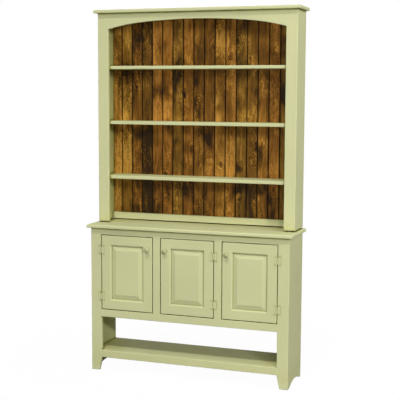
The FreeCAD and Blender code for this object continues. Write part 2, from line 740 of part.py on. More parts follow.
def hinge_leaf(label, z, first, count, flipped):
    """A leaf with its knuckles, on an axis along Z at the middle of the barrel."""
    body = new_body(label, "hinge_across", "hinge_axis", z)
    if flipped:
        body.Placement.Rotation = FreeCAD.Rotation(FreeCAD.Vector(0, 1, 0), 180)
    sketch = new_sketch(body, FRONT, "leaf_thickness - barrel_radius")
    leg, web = "hinge_leg_height / 2", "barrel_height / 2"
    draw_path(sketch, (("web_start", "-" + web), ("leg_inner", "-" + web), ("leg_inner", "-" + leg),
                       ("leaf_reach", "-" + leg), ("leaf_reach", leg), ("leg_inner", leg),
                       ("leg_inner", web), ("web_start", web)))
    add_pad(body, sketch, "leaf_thickness", backwards=True)
    sketch = new_sketch(body, PLAN, "%d * knuckle_pitch - barrel_height / 2" % first)
    inner = "barrel_radius - leaf_thickness"
    draw_path(sketch, (("web_start + leaf_thickness", "barrel_radius"),
                       ("0", "barrel_radius", "barrel_radius", 1),
                       ("-barrel_radius", "0", "barrel_radius", 1),
                       ("0", "-barrel_radius", "barrel_radius", 1), ("web_across", inner),
                       ("web_start + leaf_thickness", inner)))
    knuckle = add_pad(body, sketch, "knuckle_height")
    if count > 1:
        repeat_upwards(body, sketch, knuckle, "%d * knuckle_pitch" % (2 * count - 2), count)
    bore = new_sketch(body, PLAN, "-barrel_height / 2")
    draw_circle(bore, "0", "0", "pin_radius + pin_fit")
    cut_pocket(body, bore, "barrel_height", backwards=True)
    return body


def hinge_pin(label, z):
    """A pin that stands a little out of both ends of the barrel."""
    body = new_body(label, "hinge_across", "hinge_axis", z)
    sketch = new_sketch(body, PLAN, "-barrel_height / 2 - pin_tip")
    draw_circle(sketch, "0", "0", "pin_radius")
    add_pad(body, sketch, "barrel_height + 2 * pin_tip")
    return body


def door_leaves():
    leaves = [hinge_leaf("door_leaf_" + name, z, 1, KNUCKLE_COUNT // 2, False) for name, z in hinge_heights()]
    return group(leaves, "door_leaves")


def hinge_heights():
    return (("upper", "door_head - hinge_drop"), ("lower", "door_foot + hinge_rise"))


def make_doors():
    envelope = door_envelope()
    pieces = {
        "hinge_stile": shared_with(door_stile_blank("door_hinge_stile", "0", "+"), envelope, "hinge_stile"),
        "knob_stile": shared_with(door_knob_stile_blank(), envelope, "knob_stile"),
        "bottom_rail": shared_with(door_rail_blank("door_bottom_rail", "0", "+"), envelope, "bottom_rail"),
        "top_rail": shared_with(door_rail_blank("door_top_rail", "door_height", "-"), envelope, "top_rail"),
        "panel": door_panel(),
        "knob": door_knob(),
        "strike": door_strike(),
        "hinge_leaves": door_leaves(),
    }
    for name, piece in pieces.items():
        solids = 2 if name == "hinge_leaves" else 1
        keep(piece, "door_left_" + name, solids)
        keep(mirrored(piece, "door_middle_" + name, "-mullion_middle"), "door_middle_" + name, solids)
        keep(mirrored(piece, "door_right_" + name), "door_right_" + name, solids)


def keep_for_each_door(items, label):
    """The left door's hardware on the carcass and its mirror images for the other two doors."""
    left = group(items, label + "_left")
    others = [mirrored(left, label + "_middle", "-mullion_middle"), mirrored(left, label + "_right")]
    keep(group([left] + others, label), label, 3 * len(items))


def make_frame_hinges():
    pieces = []
    for name, z in hinge_heights():
        pieces.append(hinge_leaf("frame_leaf_" + name, z, 0, KNUCKLE_COUNT // 2 + 1, True))
        pieces.append(hinge_pin("hinge_pin_" + name, z))
    keep_for_each_door(pieces, "frame_hinge_leaves")


def make_catches():
    """Catches behind the top rail, whose noses hang down behind the doors' strikes."""
    body = new_body("magnetic_catch", "door_left_edge + knob_across - catch_width / 2",
                    "face_front + frame_thickness", "door_head")
    sketch = new_sketch(body, END)
    nose = "door_thickness - frame_thickness + strike_thickness + catch_play"
    draw_path(sketch, ((nose, "-catch_drop"), ("catch_depth", "-catch_drop"), ("catch_depth", "catch_rise"),
                       ("0", "catch_rise"), ("0", "0"), (nose, "0")))
    add_pad(body, sketch, "catch_width")
    keep_for_each_door([body], "magnetic_catches")


def make_glides():
    """A button under each corner of the hutch."""
    pieces = []
    for name, x, y in (("front", "half_width - stile_width / 2", "hutch_face + frame_thickness / 2"),
                       ("back", "half_width - board_thickness / 2", "back_plane - back_board_thickness"
                        " - board_thickness")):
        body = new_body("glide_" + name, x, y, "hutch_foot - glide_height")
        sketch = new_sketch(body, PLAN)
        draw_circle(sketch, "0", "0", "glide_radius")
        add_pad(body, sketch, "glide_height")
        pieces += [body, mirrored(body, "glide_%s_left" % name)]
    keep(group(pieces, "hutch_glides"), "hutch_glides", 4)


def make_model():
    fill_sheet()
    make_base_frame()
    make_base_sides()
    make_base_shelves()
    make_back_panel()
    make_top_board("base_counter", "face_front", "counter_overhang", "base_height",
                   "counter_thickness", "counter_round", "counter_under_round")
    make_hutch_frame()
    make_hutch_sides()
    make_hutch_shelves()
    make_hutch_back_rail()
    make_back_boards()
    make_glides()
    make_top_board("hutch_crown", "hutch_face", "crown_overhang", "hutch_foot + hutch_height",
                   "crown_thickness", "crown_round", "crown_round")
    make_doors()
    make_frame_hinges()
    make_catches()
    doc.recompute()


def check_model():
    """Stops if anything failed to build, or a sub-part isn't the sound solids that it should be."""
    for item in doc.Objects:
        if "Invalid" in item.State or "Error" in item.State:
            raise ValueError("%s failed: %s" % (item.Label, item.State))
    for item, solids in nodes:
        shape = item.Shape
        if shape.isNull() or not shape.isValid() or len(shape.Solids) != solids:
            raise ValueError("%s is not %d sound solids" % (item.Label, solids))


def write_model():
    os.makedirs("parts", exist_ok=True)
    for item, _ in nodes:
        item.Shape.exportStep("parts/%s.step" % item.Label)


make_model()
check_model()
write_model()
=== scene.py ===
import json
import math
import random

import bmesh
import bpy
from mathutils import Matrix, Vector


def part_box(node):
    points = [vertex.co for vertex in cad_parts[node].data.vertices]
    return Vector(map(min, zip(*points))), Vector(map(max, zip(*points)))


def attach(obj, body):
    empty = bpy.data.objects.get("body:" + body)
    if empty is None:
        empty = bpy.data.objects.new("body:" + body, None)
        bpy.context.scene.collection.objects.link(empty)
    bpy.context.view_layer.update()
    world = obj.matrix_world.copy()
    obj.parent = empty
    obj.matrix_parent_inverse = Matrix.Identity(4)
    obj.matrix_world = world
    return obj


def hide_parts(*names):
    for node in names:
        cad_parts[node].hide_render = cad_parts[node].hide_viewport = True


bl_info = {
    "name": "Step Back Cupboard Finish",
    "version": (1, 0, 0),
    "blender": (4, 5, 0),
    "location": "View3D > Sidebar > Cupboard",
    "description": "Paint, stain, turned knobs, hinge screws, back nails and studio for a step back cupboard",
    "category": "Object",
}

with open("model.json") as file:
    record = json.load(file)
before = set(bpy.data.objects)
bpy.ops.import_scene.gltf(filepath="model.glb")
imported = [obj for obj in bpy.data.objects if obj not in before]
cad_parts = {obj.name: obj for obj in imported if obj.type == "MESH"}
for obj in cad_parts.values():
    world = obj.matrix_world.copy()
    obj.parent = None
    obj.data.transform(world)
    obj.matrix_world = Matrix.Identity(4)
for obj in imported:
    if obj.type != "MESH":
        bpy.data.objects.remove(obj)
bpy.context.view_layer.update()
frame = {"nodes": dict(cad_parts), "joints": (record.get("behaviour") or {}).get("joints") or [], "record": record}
nodes = frame["nodes"]

DOORS = ("left", "middle", "right")
UP, ACROSS, DEEP = "up", "across", "deep"
# A pattern's scale along the grain against that across it, and so its scales for each way the grain runs.
DRAWN_OUT = 0.045
GRAIN = {UP: (1.0, 1.0, DRAWN_OUT), ACROSS: (DRAWN_OUT, 1.0, 1.0), DEEP: (1.0, DRAWN_OUT, 1.0)}
# Words in the names of the painted pieces whose grain lies across the cupboard.
LYING = ("rail", "shelf", "floor", "counter", "crown")

# How open a place is where the painted shade starts and where it is full: in a corner, in a gap and
# deep inside the case.
CORNER_OPEN = (0.92, 0.50)
GAP_OPEN = (0.42, 0.16)
RECESS_OPEN = (0.86, 0.30)
# Heights over which painted shade of corners and recesses sets in, so the feet aren't darkened at the floor.
OFF_FLOOR = (0.02, 0.075)

# How light each back board took the stain, left to right.
BOARD_TONES = (0.47, 0.22, 0.49, 0.47, 0.48, 0.60, 0.40, 0.55, 0.38)
# The boards are darker below the lowest hutch shelf: fully at the first height, not at all above the second.
DARKER_BELOW = (1.105, 1.158)
# How far up the boards' foot is painted dark: painted shade in the gap under the hutch's back rail.
BOARD_FOOT_SHADE = 0.007
# Share of the places for a knot that hold none.
KNOTLESS = 0.30
# How far a knot's dark core, golden flecks, bent grain and rings reach, and the distance between rings.
KNOT_CORE, KNOT_FLECKS, KNOT_BEND, KNOT_RINGS, RING_PITCH = 0.018, 0.026, 0.034, 0.048, 0.0125
# Behind the boards' face: where a V joint's slope starts, is fully dark and ends, and how deep stain pooled.
SLOPE_START, SLOPE_DARK, SLOPE_END, POOL_DEPTH = 0.0003, 0.0016, 0.0037, 0.006
# Beside a V joint: how wide the pooled stain lies, faintly and fully.
POOL_FAINT, POOL_FULL = 0.0062, 0.0028

# Points closer than this are one.
WELD = 1e-6
# Faces that meet at less than this angle are shaded as one, on turned pieces and on small fasteners.
SOFT_TURNED, SOFT_FASTENER = math.radians(40), math.radians(25)
# How much of the paint's lightness the knobs and the screws keep, darkened as painted shade.
KNOB_SHADE, SCREW_SHADE = 0.76, 0.62
# Half of a hinge's height, its leaf's thickness, and the share of a leaf's width at which its screws stand.
HALF_HINGE, LEAF, SCREW_PLACE = 0.0285, 0.002, 0.76
# Where on a back board's width its nails stand.
NAIL_PLACES = (0.25, 0.75)

FLOOR_RADIUS = 14
# Distances from the middle of the floor between which it fades to white, and the share of white at the first.
FLOOR_FADE, FLOOR_WHITE = (0.7, 2.0), 0.975
SENSOR_WIDTH = 36
FARTHEST_SEEN = 60
MIDDLE = (0, 0, 1.15)
# Each lamp's name, place, aim, size, watts and the stage setting that scales it.
LAMPS = (("key_lamp", (12.0, -25.2, 13.3), MIDDLE, (1.8, 1.8), 1460, "key"),
         ("right_lamp", (5.0, -5.0, 3.2), MIDDLE, (0.8, 0.8), 179, "key"),
         ("front_lamp", (2.6, -12.6, 1.3), MIDDLE, (0.9, 0.9), 472, "front"),
         ("overhead_lamp", (1.02, -8.33, 15.8), MIDDLE, (2.0, 1.5), 1353, "overhead"),
         ("top_lamp", (0.5, -3.0, 13.0), MIDDLE, (1.5, 1.5), 132, "overhead"),
         ("side_lamp", (4.4, -0.35, 2.7), (0.6, 0, 1.5), (1.2, 1.6), 67, "side"),
         ("back_lamp", (-7.0, 9.0, 0.5), (0, 0.16, 1.0), (0.7, 0.7), 620, "back"))


# Settings

class PaintSettings(bpy.types.PropertyGroup):
    color: bpy.props.FloatVectorProperty(
        name="Paint", description="Sage green of the paint", subtype="COLOR", size=3,
        min=0, max=1, default=(0.600, 0.604, 0.328))
    # Wear and painted highlight: lighter paint along the edges, partly rubbed thin, partly where light catches
    # them.
    edge_wear_and_highlight_color: bpy.props.FloatVectorProperty(
        name="Rubbed edges", description="Paint where an edge is rubbed thin", subtype="COLOR", size=3,
        min=0, max=1, default=(0.690, 0.680, 0.420))
    # How far the edge wear and painted highlight reach.
    edge_width: bpy.props.FloatProperty(
        name="Edge width", description="How far the rubbing reaches from an edge", unit="LENGTH",
        default=0.0022, min=0)
    gloss: bpy.props.FloatProperty(
        name="Roughness", description="Roughness of the satin paint", default=0.56, min=0, max=1)
    brush_depth: bpy.props.FloatProperty(
        name="Brush marks", description="Depth of the brush marks", unit="LENGTH", default=0.00006, min=0)
    # Painted shade: paint darkened in the corners and under overhangs, where shade falls.
    corner_shade_color: bpy.props.FloatVectorProperty(
        name="Grime", description="Paint where it thickened and dulled in a corner", subtype="COLOR",
        size=3, min=0, max=1, default=(0.165, 0.171, 0.003))
    # Painted shade: paint made near black down in the narrow gaps, where shade falls.
    gap_shade_color: bpy.props.FloatVectorProperty(
        name="Gap", description="Paint and dust down in the narrow gaps", subtype="COLOR", size=3,
        min=0, max=1, default=(0.040, 0.041, 0.006))
    # How far the painted shade reaches out of a corner and into a gap.
    painted_shade_reach: bpy.props.FloatProperty(
        name="Grime reach", description="How far the dulling reaches out of a corner", unit="LENGTH",
        default=0.012, min=0)
    # Painted shade: a deeper, more olive tint deep inside the case, where shade falls.
    recess_shade_tint: bpy.props.FloatVectorProperty(
        name="Recess tint", description="Tint of the thicker, less faded paint deep inside the case",
        subtype="COLOR", size=3, min=0, max=1, default=(0.84, 0.82, 0.60))
    # Reach of the painted recess shade.
    recess_shade_reach: bpy.props.FloatProperty(
        name="Recess reach", description="How near other boards stand where the paint kept its depth",
        unit="LENGTH", default=0.26, min=0)


class StainSettings(bpy.types.PropertyGroup):
    dark: bpy.props.FloatVectorProperty(
        name="Dark stain", description="Stain in the knots and dark heartwood", subtype="COLOR", size=3,
        min=0, max=1, default=(0.030, 0.0155, 0.0045))
    middle: bpy.props.FloatVectorProperty(
        name="Middle stain", description="Stain on most of the wood", subtype="COLOR", size=3,
        min=0, max=1, default=(0.208, 0.093, 0.013))
    light: bpy.props.FloatVectorProperty(
        name="Light stain", description="Stain on the palest wood", subtype="COLOR", size=3,
        min=0, max=1, default=(0.550, 0.272, 0.047))
    knot_spacing: bpy.props.FloatProperty(
        name="Knot spacing", description="Typical distance between knots", unit="LENGTH",
        default=0.115, min=0.02)
    roughness: bpy.props.FloatProperty(
        name="Roughness", description="Roughness of the varnish", default=0.38, min=0, max=1)


class KnobSettings(bpy.types.PropertyGroup):
    foot_radius: bpy.props.FloatProperty(
        name="Foot radius", description="Radius where the knob meets the door", unit="LENGTH",
        default=0.0085, min=0.001)
    waist_radius: bpy.props.FloatProperty(
        name="Waist radius", description="Radius of the neck", unit="LENGTH", default=0.0068, min=0.001)
    dome: bpy.props.FloatProperty(
        name="Dome", description="Height of the domed face", unit="LENGTH", default=0.0090, min=0.0005)
    steps: bpy.props.IntProperty(
        name="Steps", description="Steps round the knob", default=48, min=12)


class ScrewSettings(bpy.types.PropertyGroup):
    radius: bpy.props.FloatProperty(
        name="Head radius", description="Radius of a hinge screw's head", unit="LENGTH",
        default=0.0027, min=0.0005)
    height: bpy.props.FloatProperty(
        name="Head height", description="How far a screw's head stands out", unit="LENGTH",
        default=0.0009, min=0.0001)
    slot: bpy.props.FloatProperty(
        name="Slot", description="Width of the slot", unit="LENGTH", default=0.0008, min=0.0001)
    pitch: bpy.props.FloatProperty(
        name="Pitch", description="Distance between a leaf's screws", unit="LENGTH",
        default=0.0235, min=0.001)


class NailSettings(bpy.types.PropertyGroup):
    radius: bpy.props.FloatProperty(
        name="Head radius", description="Radius of a back board nail's head", unit="LENGTH",
        default=0.0021, min=0.0005)
    height: bpy.props.FloatProperty(
        name="Head height", description="How far a nail's head stands out of the board", unit="LENGTH",
        default=0.0004, min=0.0001)


class StageSettings(bpy.types.PropertyGroup):
    floor_color: bpy.props.FloatVectorProperty(
        name="Floor", description="Colour of the studio floor", subtype="COLOR", size=3,
        min=0, max=1, default=(0.93, 0.93, 0.92))
    floor_bounce: bpy.props.FloatProperty(
        name="Floor bounce", description="Share of the light that the floor throws back up", default=0.08,
        min=0, max=1)
    key: bpy.props.FloatProperty(
        name="Key lamp", description="Strength of the two lamps in front, high at the right",
        default=1.0, min=0)
    front: bpy.props.FloatProperty(
        name="Front lamp", description="Strength of the level lamp in front", default=1.0, min=0)
    overhead: bpy.props.FloatProperty(
        name="Overhead lamp", description="Strength of the two overhead lamps", default=1.0, min=0)
    side: bpy.props.FloatProperty(
        name="Side lamp", description="Strength of the lamp at the right", default=1.0, min=0)
    back: bpy.props.FloatProperty(
        name="Back lamp", description="Strength of the lamp behind, at the left", default=1.0, min=0)
    room: bpy.props.FloatProperty(
        name="Room light", description="Strength of the light from all round", default=0.02, min=0)
    camera_place: bpy.props.FloatVectorProperty(
        name="Camera", description="Where the camera stands", subtype="XYZ", unit="LENGTH", size=3,
        default=(1.9032, -5.2520, 1.6525))
    camera_turn: bpy.props.FloatProperty(
        name="Turn", description="How far the camera looks to the left", unit="ROTATION",
        default=math.radians(19.63))
    camera_tilt: bpy.props.FloatProperty(
        name="Tilt", description="How far the camera looks down", unit="ROTATION",
        default=math.radians(6.35))
    camera_roll: bpy.props.FloatProperty(
        name="Roll", description="How far the camera leans", unit="ROTATION",
        default=math.radians(0.27))
    lens: bpy.props.FloatProperty(
        name="Lens", description="Focal length in millimetres on a 36 mm frame", default=87.05, min=10)


# Material helpers

def new_material(name, base):
    """A material with its shader; base is the plain colour that stands for it without nodes."""
    material = bpy.data.materials.new(name)
    material.use_nodes = True
    material.diffuse_color = (*base, 1)
    shader = material.node_tree.nodes["Principled BSDF"]
    shader.inputs["Base Color"].default_value = (*base, 1)
    return material, material.node_tree, shader


def wire(tree, kind, inputs=None, **settings):
    """A node with its settings and inputs; an input is a value or another node's output."""
    node = tree.nodes.new(kind)
    for name, setting in settings.items():
        setattr(node, name, setting)
    for key, entry in (inputs or {}).items():
        if isinstance(entry, bpy.types.NodeSocket):
            tree.links.new(entry, node.inputs[key])
        else:
            node.inputs[key].default_value = entry
    return node


def math_node(tree, operation, *entries, clamp=False):
    return wire(tree, "ShaderNodeMath", dict(enumerate(entries)), operation=operation,
                use_clamp=clamp).outputs[0]


def times(tree, first, second):
    return math_node(tree, "MULTIPLY", first, second)


def place_on(tree, scale):
    """Object coordinates, scaled."""
    coordinates = wire(tree, "ShaderNodeTexCoord").outputs["Object"]
    return wire(tree, "ShaderNodeMapping", {"Vector": coordinates, "Scale": scale}).outputs[0]


def noise(tree, vector, scale, detail=3, roughness=0.5, distortion=0.0):
    return wire(tree, "ShaderNodeTexNoise", {"Vector": vector, "Scale": scale, "Detail": detail,
                                             "Roughness": roughness, "Distortion": distortion}).outputs[0]


def spread(tree, factor, low, high, start=0.0, end=1.0, smooth=False):
    """Maps low..high onto start..end."""
    return wire(tree, "ShaderNodeMapRange", {0: factor, 1: low, 2: high, 3: start, 4: end},
                interpolation_type="SMOOTHSTEP" if smooth else "LINEAR").outputs[0]


def blend_colors(tree, factor, first, second, mode="MIX"):
    first, second = ((*c, 1) if isinstance(c, tuple) and len(c) == 3 else c for c in (first, second))
    return wire(tree, "ShaderNodeMix", {0: factor, 6: first, 7: second}, data_type="RGBA",
                blend_type=mode).outputs[2]


def raise_surface(tree, height, distance, strength=1.0, normal=None):
    inputs = {"Height": height, "Distance": distance, "Strength": strength}
    if normal is not None:
        inputs["Normal"] = normal
    return wire(tree, "ShaderNodeBump", inputs).outputs[0]


def worn_and_lit_edges(tree, width):
    """1 at an outer or inner edge, 0 on the flat."""
    rounded = wire(tree, "ShaderNodeBevel", {"Radius": width}, samples=6).outputs[0]
    flat = wire(tree, "ShaderNodeNewGeometry").outputs["Normal"]
    agree = wire(tree, "ShaderNodeVectorMath", {0: rounded, 1: flat}, operation="DOT_PRODUCT")
    return spread(tree, agree.outputs["Value"], 1.0, 0.90, smooth=True)


def openness(tree, reach):
    """How much of the view outwards is free of surfaces nearer than the reach."""
    return wire(tree, "ShaderNodeAmbientOcclusion", {"Distance": reach}, samples=6).outputs["AO"]


def painted_wood(name, way, paint, edge_wear_and_highlight=1.0, base=None, corner_shade=0.85, recess_shade=0.0, spill=1.0):
    """Satin brushed paint over wood whose grain runs one way: pale along the edges, from wear and painted
    highlight, and darkened with painted shade in the corners, the gaps and deep inside the case.

    Three strengths say how strongly the edges show wear and painted highlight, the corners painted shade
    and the inside of the case painted recess shade, and spill how many times the shade's reach it spreads.
    """
    base = tuple(base or paint.color)
    material, tree, shader = new_material(name, base)
    plain = place_on(tree, (1, 1, 1))
    height = wire(tree, "ShaderNodeSeparateXYZ", {0: plain}).outputs[2]
    along = place_on(tree, GRAIN[way])
    brush = noise(tree, along, 520, 4, 0.62)
    grain = noise(tree, along, 95, 3, 0.55, 0.4)
    cloud = noise(tree, plain, 2.6, 2, 0.5)
    color = blend_colors(tree, spread(tree, cloud, 0.3, 0.7), tuple(c * 0.965 for c in base),
                         tuple(min(1, c * 1.03) for c in base))
    color = blend_colors(tree, spread(tree, brush, 0.25, 0.75, 0.0, 0.10), color,
                         tuple(c * 0.80 for c in base))
    above = spread(tree, height, *OFF_FLOOR)
    # Painted shade deep inside the case: a deeper tint where other boards stand near.
    if recess_shade:
        deep = spread(tree, openness(tree, paint.recess_shade_reach), *RECESS_OPEN, 0.0, recess_shade, smooth=True)
        color = blend_colors(tree, times(tree, deep, above), color, tuple(paint.recess_shade_tint), "MULTIPLY")
    # Painted shade: the paint darkens where other surfaces stand near, in corners and down in gaps.
    free = openness(tree, paint.painted_shade_reach * spill)
    corner = times(tree, spread(tree, free, *CORNER_OPEN, smooth=True), above)
    # Lighter paint along the edges: wear where rubbed thin, and painted highlight where light catches an edge.
    if edge_wear_and_highlight:
        patchy = spread(tree, noise(tree, plain, 42, 3, 0.6), 0.30, 0.62, 0.35 * edge_wear_and_highlight, edge_wear_and_highlight)
        worn_and_lit = math_node(tree, "MULTIPLY", worn_and_lit_edges(tree, paint.edge_width), patchy, clamp=True)
        worn_and_lit = math_node(tree, "MULTIPLY", worn_and_lit, math_node(tree, "SUBTRACT", 1.0, corner), clamp=True)
        color = blend_colors(tree, worn_and_lit, color, tuple(paint.edge_wear_and_highlight_color))
    color = blend_colors(tree, times(tree, corner, corner_shade), color, tuple(paint.corner_shade_color))
    # Painted shade down in the narrow gaps, near black.
    gap = spread(tree, free, *GAP_OPEN, 0.0, 0.95, smooth=True)
    color = blend_colors(tree, gap, color, tuple(paint.gap_shade_color))
    tree.links.new(color, shader.inputs["Base Color"])
    rough = spread(tree, noise(tree, along, 140, 2), 0.2, 0.8, paint.gloss - 0.05, paint.gloss + 0.07)
    tree.links.new(rough, shader.inputs["Roughness"])
    shader.inputs["Specular IOR Level"].default_value = 0.03
    surface = raise_surface(tree, grain, paint.brush_depth * 2.2, 0.5)
    surface = raise_surface(tree, brush, paint.brush_depth, 0.7, surface)
    tree.links.new(surface, shader.inputs["Normal"])
    return material


def stained_pine(name, start, strip, tone, number, stain):
    """Knotty pine: grain that swirls round the knots, dark heartwood, stain pooled along the V grooves.

    start is the first board's low corner and strip the distance between V grooves.
    """
    material, tree, shader = new_material(name, tuple(stain.middle))
    coordinates = wire(tree, "ShaderNodeTexCoord").outputs["Object"]
    across, inwards, upwards = wire(tree, "ShaderNodeSeparateXYZ", {0: coordinates}).outputs
    layer = 7.3 * number

    def on_board(wide, high):
        """A place on the board's face, in a layer of its own for each board."""
        return wire(tree, "ShaderNodeCombineXYZ", {0: wide, 1: layer, 2: high}).outputs[0]

    flat = on_board(across, upwards)

    def stretched(wide, tall, scale, detail=3, roughness=0.55, distortion=0.0):
        place = wire(tree, "ShaderNodeMapping", {"Vector": flat, "Scale": (wide, 1.0, tall)}).outputs[0]
        return noise(tree, place, scale, detail, roughness, distortion)

    wobble = math_node(tree, "MULTIPLY_ADD", stretched(1, 1, 26, 2), 0.022, -0.011)
    cells = wire(tree, "ShaderNodeMapping", {"Vector": flat, "Scale": (1.0, 1.0, 0.72)}).outputs[0]
    knots = wire(tree, "ShaderNodeTexVoronoi", {"Vector": cells, "Scale": 1 / stain.knot_spacing,
                                                "Randomness": 0.95}, voronoi_dimensions="3D")
    reach = math_node(tree, "MULTIPLY_ADD", knots.outputs["Distance"], stain.knot_spacing, wobble)
    chance = wire(tree, "ShaderNodeSeparateColor", {0: knots.outputs["Color"]}).outputs[0]
    kept = math_node(tree, "GREATER_THAN", chance, KNOTLESS)
    core = wire(tree, "ShaderNodeSeparateXYZ", {0: knots.outputs["Position"]}).outputs[0]

    def round_knot(radius):
        """1 in a knot's middle, fading to 0 outside the radius."""
        share = math_node(tree, "DIVIDE", reach, radius)
        fall = math_node(tree, "EXPONENT", times(tree, times(tree, share, share), -1.0))
        return times(tree, fall, kept)

    drift = math_node(tree, "MULTIPLY_ADD", stretched(3.0, 1.1, 1.9), 0.12, across)
    swirl = times(tree, math_node(tree, "SUBTRACT", across, core), round_knot(KNOT_BEND))
    bent = math_node(tree, "SUBTRACT", drift, times(tree, swirl, 1.25))
    grain = noise(tree, on_board(times(tree, bent, 92.0), times(tree, upwards, 1.6)), 1.0, 6, 0.66)
    pores = noise(tree, on_board(times(tree, bent, 620.0), times(tree, upwards, 14.0)), 1.0, 4, 0.65)
    turns = math_node(tree, "MULTIPLY_ADD", reach, math.tau / RING_PITCH, times(tree, grain, 9.0))
    rings = times(tree, math_node(tree, "SINE", turns), round_knot(KNOT_RINGS))
    heartwood = stretched(5.2, 2.2, 1.0, 4, 0.62, 0.8)
    cloud = stretched(20.0, 7.0, 1.0, 3, 0.6, 0.6)
    blotch = spread(tree, stretched(6.5, 4.6, 1.0, 2, 0.5, 0.3), 0.52, 0.74, smooth=True)
    flame = times(tree, spread(tree, stretched(110.0, 42.0, 1.0, 3, 0.6, 1.2), 0.47, 0.62),
                  spread(tree, stretched(9.0, 5.0, 1.0, 2, 0.5), 0.50, 0.60, smooth=True))
    golden = times(tree, round_knot(KNOT_FLECKS), spread(tree, stretched(38.0, 30.0, 1.0, 2), 0.46, 0.60))
    below = spread(tree, upwards, DARKER_BELOW[1], DARKER_BELOW[0], smooth=True)
    from_start = math_node(tree, "SUBTRACT", across, start.x)
    row = math_node(tree, "FLOOR", math_node(tree, "DIVIDE", from_start, strip))
    middle_of_row = math_node(tree, "ADD", row, 0.5)
    own = wire(tree, "ShaderNodeTexWhiteNoise", {"W": middle_of_row}, noise_dimensions="1D")

    level = tone - 0.77
    for part, share in ((own.outputs["Value"], 0.15), (blotch, -0.52), (flame, 0.38), (below, -0.20),
                        (spread(tree, grain, 0.30, 0.70), 0.40), (spread(tree, heartwood, 0.34, 0.60), 0.46),
                        (spread(tree, cloud, 0.30, 0.70), 0.32), (spread(tree, pores, 0.30, 0.70), 0.18),
                        (rings, 0.16), (round_knot(KNOT_CORE), -0.34), (golden, 0.52)):
        level = math_node(tree, "MULTIPLY_ADD", part, share, level)

    ramp = wire(tree, "ShaderNodeValToRGB", {0: level})
    stops = ramp.color_ramp.elements
    stops[0].position, stops[0].color = 0.02, (*stain.dark, 1)
    stops[1].position, stops[1].color = 0.98, (*stain.light, 1)
    for position, shade in ((0.20, [d * 0.65 + m * 0.35 for d, m in zip(stain.dark, stain.middle)]),
                            (0.50, list(stain.middle)),
                            (0.76, [m * 0.5 + l * 0.5 for m, l in zip(stain.middle, stain.light)])):
        stop = stops.new(position)
        stop.color = (*shade, 1)
    pith = math_node(tree, "SUBTRACT", reach, math_node(tree, "MULTIPLY_ADD", chance, 0.013, -0.0035))
    color = blend_colors(tree, spread(tree, pith, 0.0022, -0.0012, smooth=True), ramp.outputs[0],
                         tuple(c * 0.7 for c in stain.dark))
    warmth = wire(tree, "ShaderNodeSeparateColor", {0: own.outputs["Color"]}).outputs[1]
    cast = blend_colors(tree, warmth, (0.94, 1.03, 1.05), (1.07, 0.965, 1.05))
    color = blend_colors(tree, 1.0, color, cast, "MULTIPLY")

    groove = times(tree, spread(tree, inwards, start.y + SLOPE_START, start.y + SLOPE_DARK),
                   math_node(tree, "LESS_THAN", inwards, start.y + SLOPE_END))
    beside = math_node(tree, "PINGPONG", from_start, strip / 2)
    pooled_stain_and_foot_shade = times(tree, spread(tree, beside, POOL_FAINT, POOL_FULL, smooth=True),
                   spread(tree, stretched(9.0, 3.0, 1.0, 2), 0.35, 0.62, 0.55, 0.95))
    pooled_stain_and_foot_shade = times(tree, pooled_stain_and_foot_shade, math_node(tree, "LESS_THAN", inwards, start.y + POOL_DEPTH))
    pooled_stain_and_foot_shade = math_node(tree, "MAXIMUM", pooled_stain_and_foot_shade, times(tree, groove, 0.97))
    # Painted shade: the boards' foot, seen through the gap under the back rail, is painted dark.
    foot_shade = math_node(tree, "LESS_THAN", upwards, start.z + BOARD_FOOT_SHADE)
    pooled_stain_and_foot_shade = math_node(tree, "MAXIMUM", pooled_stain_and_foot_shade, foot_shade)
    color = blend_colors(tree, pooled_stain_and_foot_shade, color, tuple(c * 0.5 for c in stain.dark))
    tree.links.new(color, shader.inputs["Base Color"])
    tree.links.new(spread(tree, grain, 0.2, 0.8, stain.roughness + 0.08, stain.roughness - 0.06),
                   shader.inputs["Roughness"])
    shader.inputs["Specular IOR Level"].default_value = 0.07
    surface = raise_surface(tree, grain, 0.00035, 0.35)
    surface = raise_surface(tree, pores, 0.00012, 0.4, surface)
    tree.links.new(surface, shader.inputs["Normal"])
    return material


def plated_steel(name):
    """Bright zinc with a faint crystal bloom."""
    material, tree, shader = new_material(name, (0.62, 0.62, 0.60))
    plain = place_on(tree, (1, 1, 1))
    bloom = wire(tree, "ShaderNodeTexVoronoi", {"Vector": plain, "Scale": 240.0}).outputs["Distance"]
    color = blend_colors(tree, spread(tree, bloom, 0.1, 0.7), (0.66, 0.66, 0.64), (0.52, 0.52, 0.50))
    tree.links.new(color, shader.inputs["Base Color"])
    rough = spread(tree, noise(tree, plain, 180, 3), 0.3, 0.7, 0.26, 0.42)
    tree.links.new(rough, shader.inputs["Roughness"])
    shader.inputs["Metallic"].default_value = 1.0
    tree.links.new(raise_surface(tree, bloom, 0.00002, 0.4), shader.inputs["Normal"])
    return material


def moulded_plastic(name):
    """Dark brown plastic with a fine spark texture."""
    material, tree, shader = new_material(name, (0.14, 0.12, 0.09))
    plain = place_on(tree, (1, 1, 1))
    pits = noise(tree, plain, 1900, 2, 0.6)
    cloud = spread(tree, noise(tree, plain, 60, 2), 0.3, 0.7)
    color = blend_colors(tree, cloud, (0.13, 0.11, 0.08), (0.16, 0.14, 0.105))
    tree.links.new(color, shader.inputs["Base Color"])
    tree.links.new(spread(tree, pits, 0.3, 0.7, 0.44, 0.60), shader.inputs["Roughness"])
    tree.links.new(raise_surface(tree, pits, 0.00004, 0.5), shader.inputs["Normal"])
    return material


def dress(names, material):
    """Gives each named node the material."""
    for name in names:
        for slot in nodes[name].material_slots:
            slot.material = material


def in_slot(slot):
    return [row["node"] for row in frame["record"]["subparts"] if row["material_slot"] == slot]


# Mesh helpers

